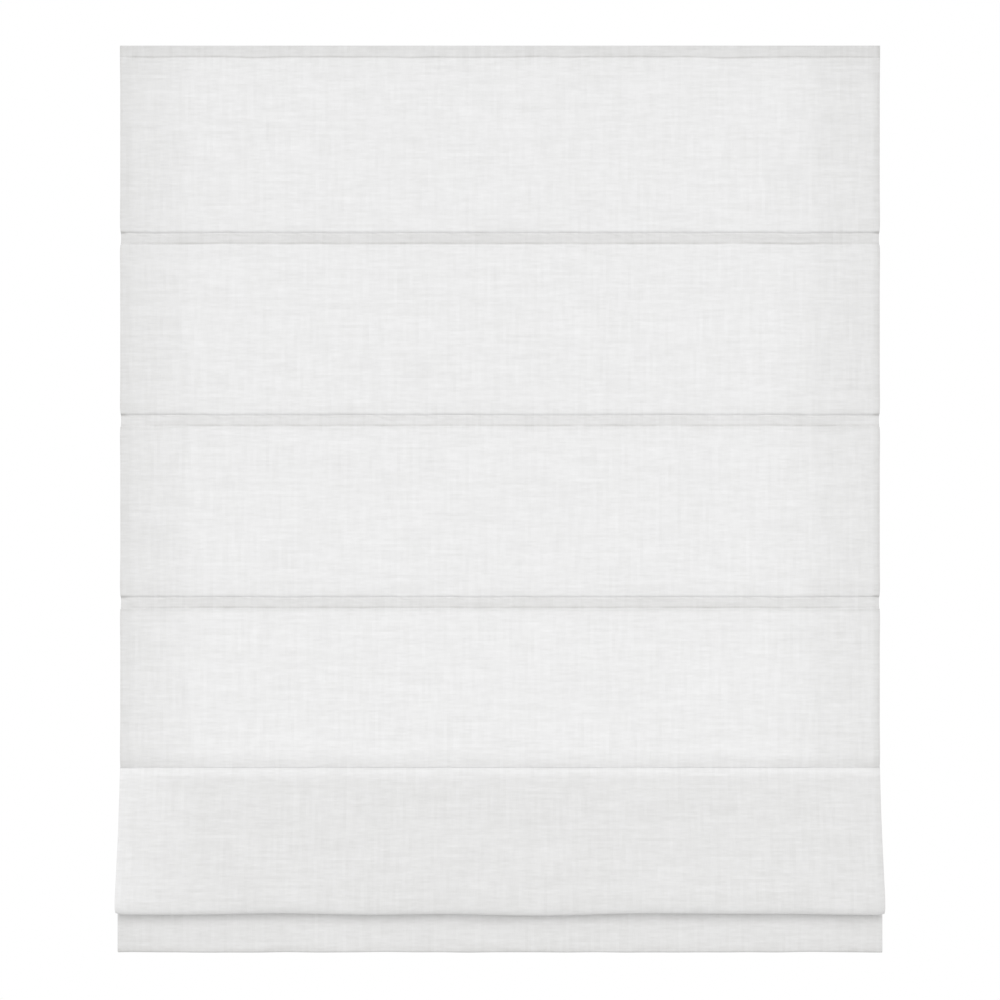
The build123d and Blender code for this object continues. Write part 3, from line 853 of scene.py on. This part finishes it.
def part_sheet(sheet, rows, cuts, node):
    """Cuts a sheet into its pieces from the top down, and lets each follow its batten."""
    at = {key: rows[corner] for key, corner in cuts.items()}

    def cut(name, first, last, body):
        """A piece of cloth that rides on a body and stands for its solid, which is hidden."""
        piece = sheet.piece(f"{node}_{name}", first, last)
        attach(piece, body)
        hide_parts(node)
        pieces[node].append(piece)
        return piece

    cut("head", 0, at["panel_1_top"], row_body[0])
    for i in range(1, 5):
        top, middle, foot = (at[f"panel_{i}_{part}"] for part in ("top", "middle", "foot"))
        centre = sheet.columns // 2
        top_point, foot_point = (sheet.points[row, centre] for row in (top, foot))
        forward, up = pleat_axis(top_point[2] - foot_point[2], row_lift[i] - row_lift[i - 1])
        upper = cut(f"panel_{i}_upper", top, middle, row_body[i - 1])
        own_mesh(upper)
        lower = cut(f"panel_{i}_lower", middle, foot, row_body[i])
        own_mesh(lower)
        end = at[f"panel_{i + 1}_top"] if i < 4 else at["fold_top"]
        cut(f"channel_{i}", foot, end, row_body[i])
    fold = cut("fold", at["fold_top"], at["fold_end"], row_body[4])
    start_z, end_z = (sheet.points[at[key], 0, 2] for key in ("fold_top", "fold_end"))
    left = 1 - (row_lift[5] - row_lift[4]) / (start_z - end_z)
    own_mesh(fold)
    cut("hem", at["fold_end"], len(sheet.along) - 1, row_body[5])
    print(node, "fold keeps", round(left, 3), "of its height when raised")


part_sheet(face, face_rows, face_cuts, "face_fabric")
part_sheet(lining, lining_rows, lining_cuts, "lining")

# %% [markdown]
# ## Sewing
# A machine stitch is a short length of thread that comes up through the cloth, lies along the seam
# and goes down again. It could be painted on, but seen close it is round and casts a small shadow,
# so each stitch is a little tube that rises out of the cloth along a row of the sheet's own grid.

# %% Threads
thread_r = 0.2 * mm
thread_sides = 5


def tubes(name, body, path, u, v, radius, closed):
    """Round threads along many paths at once, as one piece that rides on a body.

    Round each path point stands a ring of points, at radius times cosine along u plus sine along v.
    Neighbouring rings are joined; a closed path joins its last ring to its first, an open one ends
    in flat caps.
    """
    count, length = path.shape[:2]
    angle = 2 * np.pi * np.arange(thread_sides) / thread_sides
    ring = np.cos(angle)[:, None] * u[..., None, :] + np.sin(angle)[:, None] * v[..., None, :]
    links = length if closed else length - 1
    k, i, j = np.meshgrid(np.arange(count), np.arange(links), np.arange(thread_sides), indexing="ij")
    base = k * length * thread_sides
    here, there = base + i * thread_sides, base + (i + 1) % length * thread_sides
    after = (j + 1) % thread_sides
    faces = np.stack([here + j, here + after, there + after, there + j], -1).reshape(-1, 4).tolist()
    if not closed:
        first = np.arange(count)[:, None] * length * thread_sides + np.arange(thread_sides)
        faces += first[:, ::-1].tolist() + (first + (length - 1) * thread_sides).tolist()
    piece = make_mesh(name, path[..., None, :] + radius * ring, faces)
    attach(piece, body)
    pieces["thread"].append(piece)


print(f"sewing thread {2 * thread_r / mm:.1f} mm thick")

# %% Stitches
stitch_pitch = 3.5 * mm
stitch_length = 2.7 * mm
stitch_margin = 6 * mm
stitch_share = np.linspace(0, 1, 5)
stitch_rise = thread_r * (1.5 * np.sin(np.pi * stitch_share) - 0.9)


def stitch_paths(sheet, on_back, y, z):
    """Paths of the stitches along the grid row nearest to (y, z), and the two ways across a thread.

    Along a stitch the thread's middle rises from under the surface and sinks again as half a sine.
    """
    row = np.argmin(np.hypot(sheet.line[:, 0] - y, sheet.line[:, 1] - z))
    turn = (sheet.points.shape[1] - 2 * sheet.columns) // 2
    columns = np.arange(sheet.columns)
    if on_back:
        columns = (sheet.columns + turn + columns)[::-1]
    surface, normal = sheet.points[row, columns], sheet.normals[row, columns]
    reach = surface[-1, 0] - stitch_margin
    x = np.arange(-reach, reach, stitch_pitch)[:, None] + (stitch_share - 0.5) * stitch_length
    on, up = (np.stack([np.interp(x, surface[:, 0], part[:, k]) for k in range(3)], -1)
              for part in (surface, normal))
    return on + up * stitch_rise[:, None], up, np.cross(up, [1.0, 0.0, 0.0])


def sew(kind, body, sheet, on_back, rows):
    """One piece of stitching: the rows at all (y, z) of one sheet that ride on one body."""
    paths = [stitch_paths(sheet, on_back, y, z) for y, z in rows]
    path, up, across = (np.concatenate(part) for part in zip(*paths))
    tubes(f"{kind}_stitches_{body}", body, path, across, up, thread_r, False)
    print(kind, "on", body, len(path), "stitches")


show_seam = strip_half - seam_r - 1.1 * mm
pocket_seam = strip_half + 1.2 * mm
linen_seams = {row_body[0]: [(panel_y, stitch_z)], row_body[5]: [(hem_y + hem_t, fold_z - 2 * mm)]}
linen_seams |= {body: [(strip_show_y, z + show_seam), (strip_show_y, z - show_seam)]
                for body, z in zip(row_body[1:4], batten_z)}
lining_seams = {body: [(y + lining_gap, z + pocket_seam), (y + lining_gap, z - pocket_seam)]
                for body, y, z in zip(row_body[1:], [strip_y] * 4 + [hem_y], batten_z)}
for body in row_body:
    if body in linen_seams:
        sew("linen", body, face, False, linen_seams[body])
    if body in lining_seams:
        sew("lining", body, lining, True, lining_seams[body])

# %% [markdown]
# ## Ring tacks
# The rings are sewn on by hand: a few turns of thread round the ring's wire and through the lining.
# One thick tube would look like a clip, so each turn is a closed loop of its own.

# %% Turns of thread round the rings
tack_turns = 5
tack_pitch = 0.42 * mm
tack_r = 0.18 * mm
tack_high = 1.28 * mm
tack_deep = 1.55 * mm
tack_inset = 0.25 * mm
tack_angle = np.linspace(0, 2 * np.pi, 14, endpoint=False)


def tack_paths(ring_low, ring_high):
    """Loops round the front of a ring's wire: ellipses in the upright plane across the wire."""
    outward = np.zeros((tack_turns, len(tack_angle), 3))
    outward[..., 1] = np.cos(tack_angle)
    outward[..., 2] = np.sin(tack_angle)
    path = outward * [0, tack_deep, tack_high] + (ring_low + ring_high) / 2
    wire_r = (ring_high.z - ring_low.z) / 2
    path[..., 1] += ring_low.y + wire_r - tack_inset - (ring_low.y + ring_high.y) / 2
    path[..., 0] += ((np.arange(tack_turns) - (tack_turns - 1) / 2) * tack_pitch)[:, None]
    return path, outward, np.zeros_like(path) + [1.0, 0.0, 0.0]


for i, body in enumerate(row_body[1:], 1):
    tacks = [tack_paths(*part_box(f"cord_ring_{i}_{place}")) for place in ("left", "middle", "right")]
    path, outward, along_x = (np.concatenate(part) for part in zip(*tacks))
    tubes(f"ring_tacks_{i}", body, path, outward, along_x, tack_r, True)
print("ring tacks:", 5 * 3 * tack_turns, "turns of thread")

# %% [markdown]
# ## Writing a finish as an expression
# A node tree could be drawn by hand, but it is easier to read as a sum. The class below wraps a
# socket, so that `1 - mask * 0.5` adds the Math nodes it needs. Any other node comes from one method,
# which takes the node's type, its settings and what goes into its sockets.

# %% Shader values
class Value:
    """A socket of a node tree that can be added, multiplied and so on."""

    def __init__(self, tree, socket=None):
        self.tree, self.socket = tree, socket

    def output(self, key):
        """Another output of the same node."""
        return Value(self.tree, self.socket.node.outputs[key])

    def node(self, kind, settings=None, out=0, **inputs):
        """Adds a node, sets it, feeds its sockets by name or as i0, i1 and so on; gives an output."""
        made = self.tree.nodes.new(kind)
        for key, value in (settings or {}).items():
            setattr(made, key, value)
        for key, value in inputs.items():
            socket = made.inputs[int(key[1:]) if key[1:].isdigit() else key.replace("_", " ")]
            if isinstance(value, Value):
                self.tree.links.new(value.socket, socket)
            else:
                socket.default_value = value
        return Value(self.tree, made.outputs[out])

    def math(self, operation, *values):
        """A Math node on some values."""
        inputs = {f"i{i}": value for i, value in enumerate(values)}
        return self.node("ShaderNodeMath", {"operation": operation}, **inputs)

    def __add__(self, other):
        return self.math("ADD", self, other)

    def __sub__(self, other):
        return self.math("SUBTRACT", self, other)

    def __mul__(self, other):
        return self.math("MULTIPLY", self, other)

    def __rsub__(self, other):
        return self.math("SUBTRACT", other, self)

    __radd__ = __add__
    __rmul__ = __mul__


# %% What all finishes share
def finish(name, **constants):
    """A new material, a Value that adds nodes to its tree, and its shader with its constants set."""
    material = bpy.data.materials.new(name)
    material.use_nodes = True
    shader = material.node_tree.nodes["Principled BSDF"]
    for key, value in constants.items():
        shader.inputs[key.replace("_", " ")].default_value = value
    return material, Value(material.node_tree), shader


def feed(start, shader, **inputs):
    """Links Values to the shader's sockets."""
    for key, value in inputs.items():
        start.tree.links.new(value.socket, shader.inputs[key.replace("_", " ")])


def on_piece(start):
    """Object coordinates: where a point lies on its piece, in metres."""
    return start.node("ShaderNodeTexCoord").output("Object")


def noise(start, vector, scale, detail=2.0, stretch=(1, 1, 1)):
    """Noise on a vector, drawn out along its axes: a larger number in stretch means finer."""
    placed = start.node("ShaderNodeMapping", Vector=vector, Scale=stretch)
    return start.node("ShaderNodeTexNoise", Vector=placed, Scale=scale, Detail=detail)


def tint(start, factor, light, dark):
    """A colour between light and dark."""
    return start.node("ShaderNodeMix", {"data_type": "RGBA", "clamp_factor": True}, out=2,
                      i0=factor, i6=(*light, 1), i7=(*dark, 1))


def relief(start, height, strength, distance, **settings):
    """A bump from a height."""
    return start.node("ShaderNodeBump", settings, Strength=strength, Distance=distance, Height=height)


# %% [markdown]
# ## Linen
# Linen yarn is uneven: thick places, called slubs, show as short streaks along the threads. The weft
# runs across the blind, and its slubs are longer and stronger than the warp's. Stretched noise alone
# would give soft clouds, so here every band of a few threads has a noise of its own along it. The
# weave itself is two sets of fine threads at right angles. The pattern follows the cloth's own UV
# map, which counts metres across and along the cut sheet, so it goes round folds as the threads do.

# %% Threads and slubs
thread_pitch = 0.75 * mm
band_offset = 0.25
band_spread = 7.31


def cloth_place(start):
    """Where a point lies on the cut sheet: metres across it and along it."""
    across = start.node("ShaderNodeSeparateXYZ", Vector=start.node("ShaderNodeTexCoord").output("UV"))
    return across, across.output("Y")


def cloth_painted_shade(start):
    """The painted shade that each point of a sheet carries."""
    return start.node("ShaderNodeAttribute", {"attribute_name": "layers"}).output("Fac")


def weave_height(start, u, v, pitch):
    """Two crossing sets of threads: the larger of a sine across and a sine along the cloth."""
    warp, weft = (start.math("SINE", place * (2 * math.pi / pitch)) for place in (u, v))
    return start.math("MAXIMUM", warp, weft)


def slub(start, across, along, threads, length, seed):
    """Thick and thin places: every band of so many threads has a noise of its own along it.

    The band's number is the place across the threads, counted in bands and rounded down. A noise
    then runs along the band, with that number as its second coordinate.
    """
    band = start.math("FLOOR", across * (1 / (threads * thread_pitch)) + band_offset / threads)
    place = start.node("ShaderNodeCombineXYZ", X=along * (1 / length), Y=band * band_spread + seed)
    plane = {"noise_dimensions": "2D"}
    return start.node("ShaderNodeTexNoise", plane, Vector=place, Scale=1.0, Detail=1.0) - 0.5


print("linen threads to a metre:", round(1 / thread_pitch))

# %% Linen finish
weft_slubs = [(0.31, 3, 16 * mm, 3.7), (0.32, 5, 75 * mm, 11.2), (0.14, 1, 12 * mm, 41.3)]
warp_slubs = [(0.275, 5, 55 * mm, 23.9), (0.14, 1, 12 * mm, 57.1)]
weave_tone, weave_relief = 0.07, 0.4
tone_base, tone_gain = 0.29, 0.74


def linen_finish():
    """White linen: painted shade, slubs and weave set its tone, and slubs and weave its relief.

    A slub is given as its weight, the threads in a band, its length along them and a seed.
    """
    material, start, shader = finish("white_linen", Roughness=0.92, Specular_IOR_Level=0.2,
                                     Sheen_Weight=0.1, Sheen_Roughness=0.5)
    u, v = cloth_place(start)
    slubs = sum(slub(start, v, u, *facts) * weight for weight, *facts in weft_slubs)
    slubs = slubs + sum(slub(start, u, v, *facts) * weight for weight, *facts in warp_slubs)
    weave = weave_height(start, u, v, thread_pitch)
    # the painted shade deepens the linen's colour where it is set
    depth = (cloth_painted_shade(start) + slubs - weave * weave_tone + tone_base) * tone_gain
    height = weave * weave_relief + slubs
    feed(start, shader, Base_Color=tint(start, depth, (0.919, 0.919, 0.924), (0.615, 0.611, 0.600)),
         Normal=relief(start, height, 0.35, 0.25 * mm))
    return material


soft_finish = {"face_fabric": linen_finish()}
print("linen finish:", len(soft_finish["face_fabric"].node_tree.nodes), "nodes")

# %% [markdown]
# ## Lining and thread
# The lining is plain cotton: its yarn is even, its weave finer and its colour warmer than the linen's.
# The sewing thread is twisted, which shows as a fine grain. Neither needs the linen's bands, so a
# stretched noise each way does for the cotton, and one noise on Object coordinates for the thread.

# %% Lining and thread finishes
cotton_pitch = 0.5 * mm
cotton_fine, cotton_long = 900, 90
cotton_tone, cotton_base, cotton_relief = 0.12, 0.1, 0.2


def lining_finish():
    """Cotton: noise drawn out along the weft and along the warp, and a fine weave in the relief."""
    material, start, shader = finish("cotton_lining", Roughness=0.85, Specular_IOR_Level=0.25,
                                     Sheen_Weight=0.1)
    uv = start.node("ShaderNodeTexCoord").output("UV")
    u, v = cloth_place(start)
    weft = noise(start, uv, 1.0, stretch=(cotton_long, cotton_fine, 1)) - 0.5
    warp = noise(start, uv, 1.0, stretch=(cotton_fine, cotton_long, 1)) - 0.5
    # the painted shade deepens the lining's colour at its doubled edges
    depth = cloth_painted_shade(start) + (weft + warp) * cotton_tone + cotton_base
    height = weave_height(start, u, v, cotton_pitch) * cotton_relief + weft + warp
    feed(start, shader, Base_Color=tint(start, depth, (0.83, 0.82, 0.79), (0.66, 0.65, 0.61)),
         Normal=relief(start, height, 0.25, 0.12 * mm))
    return material


def thread_finish():
    """Twisted thread: one fine noise sets both tone and relief."""
    material, start, shader = finish("sewing_thread", Roughness=0.7, Sheen_Weight=0.1)
    twist = noise(start, on_piece(start), 1.0, 1.0, (2600, 1500, 1500))
    feed(start, shader, Base_Color=tint(start, twist, (0.86, 0.86, 0.85), (0.74, 0.73, 0.71)),
         Normal=relief(start, twist, 0.4, 0.05 * mm))
    return material


soft_finish |= {"lining": lining_finish(), "thread": thread_finish()}
for kind, made in pieces.items():
    for piece in made:
        piece.data.materials.append(soft_finish[kind])
    print(kind, "finish on", len(made), "pieces")

# %% [markdown]
# ## Rail, plastics and tapes
# The headrail is rolled aluminium with a white powder coat, which dries with a faint orange peel.
# The caps, cradles, spools and rings are moulded, with a fine even grain, and the rings are polished.
# Hook tape is a field of small stiff bristles, and loop tape a fuzzy felt. None of these needs more
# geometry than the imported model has: a noise of the right size in the bump and a little change in
# tone is enough, and Object coordinates keep it still on the piece.

# %% Coated and moulded finishes
broad_grain, gloss_change = 25.0, 0.12


def grained(name, colour, roughness, grain, depth, contrast=0.04, **constants):
    """An even surface with a grain: noise sets a small bump, a little tone and a little roughness."""
    material, start, shader = finish(name, **constants)
    place = on_piece(start)
    fine, broad = noise(start, place, grain), noise(start, place, broad_grain, 3.0)
    dark = tuple(part * (1 - 2 * contrast) for part in colour)
    feed(start, shader, Base_Color=tint(start, (fine + broad) * 0.5, colour, dark),
         Normal=relief(start, fine, 0.5, depth),
         Roughness=broad * gloss_change + (roughness - gloss_change / 2))
    return material


slot_finish = {
    "rail": grained("white_powder_coat", (0.87, 0.87, 0.86), roughness=0.45, grain=750.0,
                    depth=0.05 * mm, contrast=0.015),
    "cap": grained("white_cap_plastic", (0.86, 0.86, 0.85), roughness=0.42, grain=1400.0,
                   depth=0.02 * mm),
    "cradle": grained("white_nylon", (0.84, 0.84, 0.82), roughness=0.5, grain=1400.0,
                      depth=0.02 * mm),
    "spool": grained("natural_acetal", (0.80, 0.80, 0.77), roughness=0.32, grain=1400.0,
                     depth=0.01 * mm),
    "cassette": grained("grey_spark_plastic", (0.57, 0.58, 0.59), roughness=0.55, grain=1600.0,
                        depth=0.04 * mm, contrast=0.06),
    "ring": grained("polished_white_ring", (0.90, 0.90, 0.88), roughness=0.2, grain=900.0,
                    depth=0.005 * mm, contrast=0.02, Coat_Weight=0.3),
}
print("coated and moulded finishes:", len(slot_finish))

# %% Tape finishes
def hook_finish():
    """Bristles: a cell pattern whose cell edges are the gaps, with painted shade there and the bump turned round.
    """
    material, start, shader = finish("hook_tape_bristle", Roughness=0.6)
    gap = start.node("ShaderNodeTexVoronoi", Vector=on_piece(start), Scale=650.0)
    # painted shade in the gaps between bristles
    feed(start, shader, Base_Color=tint(start, gap * 1.3, (0.86, 0.86, 0.85), (0.62, 0.62, 0.61)),
         Normal=relief(start, gap, 0.8, 0.5 * mm, invert=True))
    return material


def loop_finish():
    """Felt: a rough noise, and a sheen for its loose fibres."""
    material, start, shader = finish("loop_tape_felt", Roughness=0.95, Sheen_Weight=0.3,
                                     Sheen_Roughness=0.4)
    fuzz = noise(start, on_piece(start), 1200.0, 4.0)
    feed(start, shader, Base_Color=tint(start, fuzz, (0.88, 0.88, 0.87), (0.72, 0.72, 0.71)),
         Normal=relief(start, fuzz, 0.7, 0.4 * mm))
    return material


tape_finish = {"hook_tape": hook_finish(), "loop_tape": loop_finish()}
print("tape finishes:", len(tape_finish))

# %% [markdown]
# ## Metals and battens
# Rod, bar and spring strip are drawn or rolled, so their marks run along X as fine streaks that show
# most in the highlights. An anisotropic shader could do that, but an exported model keeps streaks
# better. Zinc plating has a faint patchwork of grains instead. A batten is pulled glass fibre: pale,
# a little glassy, with fibres along its length.

# %% Metal and fibre finishes
streak_change = 0.2


def drawn(name, light, dark, roughness, stretch, depth, metallic=1.0):
    """Streaks: noise that is long one way and fine across it sets tone, roughness and bump."""
    material, start, shader = finish(name, Metallic=metallic)
    streak = noise(start, on_piece(start), 1.0, 3.0, stretch)
    feed(start, shader, Base_Color=tint(start, streak, light, dark),
         Normal=relief(start, streak, 0.3, depth),
         Roughness=streak * streak_change + (roughness - streak_change / 2))
    return material


def zinc_finish():
    """Zinc: each cell of a cell pattern has its own tone and gloss, with a fine noise over it."""
    material, start, shader = finish("zinc_plated_steel", Metallic=1.0)
    place = on_piece(start)
    cell = start.node("ShaderNodeTexVoronoi", Vector=place, Scale=220.0).output("Color")
    spangle = start.node("ShaderNodeSeparateXYZ", Vector=cell)
    fine = noise(start, place, 900.0, 3.0)
    feed(start, shader, Base_Color=tint(start, spangle, (0.64, 0.65, 0.66), (0.50, 0.51, 0.53)),
         Normal=relief(start, fine, 0.2, 0.02 * mm), Roughness=spangle * 0.14 + fine * 0.1 + 0.26)
    return material


slot_finish |= {
    "bracket": zinc_finish(),
    "shaft": drawn("drawn_steel_rod", (0.66, 0.66, 0.66), (0.5, 0.5, 0.5), roughness=0.32,
                   stretch=(6, 1800, 1800), depth=0.02 * mm),
    "hem_bar": drawn("mill_aluminium", (0.80, 0.80, 0.81), (0.66, 0.66, 0.67), roughness=0.4,
                     stretch=(4, 1500, 1500), depth=0.02 * mm),
    "spring": drawn("blued_spring_steel", (0.42, 0.45, 0.52), (0.26, 0.27, 0.32), roughness=0.3,
                    stretch=(900, 60, 60), depth=0.01 * mm),
    "batten": drawn("pulled_glass_fibre", (0.86, 0.85, 0.80), (0.74, 0.73, 0.68), roughness=0.4,
                    stretch=(8, 900, 900), depth=0.03 * mm, metallic=0.0),
}
record_slot = {part["node"]: part["material_slot"] for part in frame["record"]["subparts"]}
for name, node in frame["nodes"].items():
    own = tape_finish.get(name) or slot_finish.get(record_slot[name])
    for material_slot in node.material_slots if own else ():
        material_slot.material = own
print("rigid finishes:", len(slot_finish) + len(tape_finish))

# %% [markdown]
# ## Camera and light
# The picture has flat, soft light from the front and a little above, on pure white. A lamp near the
# blind would be brighter at its top than at its foot, so the light is a very wide sun: it is even
# everywhere, and its shadows are soft. A weaker one lights the back.

# %% Camera and lamps
camera_distance = 3.0
camera_z = -0.5471
camera_data = bpy.data.cameras.new("camera")
camera_data.lens = 89.8
camera = bpy.data.objects.new("camera", camera_data)
camera.location = (0, panel_y - camera_distance, camera_z)
camera.rotation_euler = (math.radians(90), 0, 0)
scene.collection.objects.link(camera)
scene.camera = camera
scene.view_settings.view_transform = "Standard"


def soft_sun(name, strength, spread, towards):
    """A wide distant lamp: even over the whole blind, with shadows as soft as its spread."""
    data = bpy.data.lights.new(name, "SUN")
    data.energy = strength
    data.angle = math.radians(spread)
    lamp = bpy.data.objects.new(name, data)
    lamp.rotation_euler = Vector(towards).to_track_quat("-Z", "Y").to_euler()
    scene.collection.objects.link(lamp)


front_rise = math.radians(26)
soft_sun("front_light", 1.40, 40, (0, math.cos(front_rise), -math.sin(front_rise)))
soft_sun("back_fill", 0.7, 60, (0.3, -1, -0.5))
print("camera", camera_distance, "m in front, lens", round(camera_data.lens, 1), "mm")

# %% [markdown]
# ## Sky and floor
# An even sky fills what the suns leave dark. A white wall could stand behind the blind, but it would
# throw light on its edges. So camera, mirror and glass rays see plain white there instead, which adds
# no light of its own. The blind hangs, so the floor lies well below it and below the picture's edge.

# %% World and floor
sky_strength = 0.565
backdrop_strength = 1.0
white = (1, 1, 1, 1)
world = bpy.data.worlds.new("studio")
world.use_nodes = True
scene.world = world
sky = Value(world.node_tree)
ray = sky.node("ShaderNodeLightPath")
mirrored = sky.math("MAXIMUM", ray.output("Is Camera Ray"), ray.output("Is Glossy Ray"))
seen = sky.math("MAXIMUM", mirrored, ray.output("Is Transmission Ray"))
ambient = sky.node("ShaderNodeBackground", Color=white, Strength=sky_strength)
backdrop = sky.node("ShaderNodeBackground", Color=white, Strength=backdrop_strength)
mixed = sky.node("ShaderNodeMixShader", i0=seen, i1=ambient, i2=backdrop)
sky.tree.links.new(mixed.socket, sky.tree.nodes["World Output"].inputs["Surface"])

floor_z = -1.9
floor_half = 3.0
floor_corners = np.array([[-1, -1, 0], [1, -1, 0], [1, 1, 0], [-1, 1, 0]]) * floor_half + [0, 0, floor_z]
floor = make_mesh("floor", floor_corners, [[0, 1, 2, 3]])
floor_finish, start, shader = finish("pale_floor", Roughness=0.8)
patches = noise(start, on_piece(start), 3.0)
feed(start, shader, Base_Color=tint(start, patches, (0.82, 0.82, 0.81), (0.78, 0.78, 0.77)))
floor.data.materials.append(floor_finish)
print("floor", 2 * floor_half, "m square at", floor_z, "m")
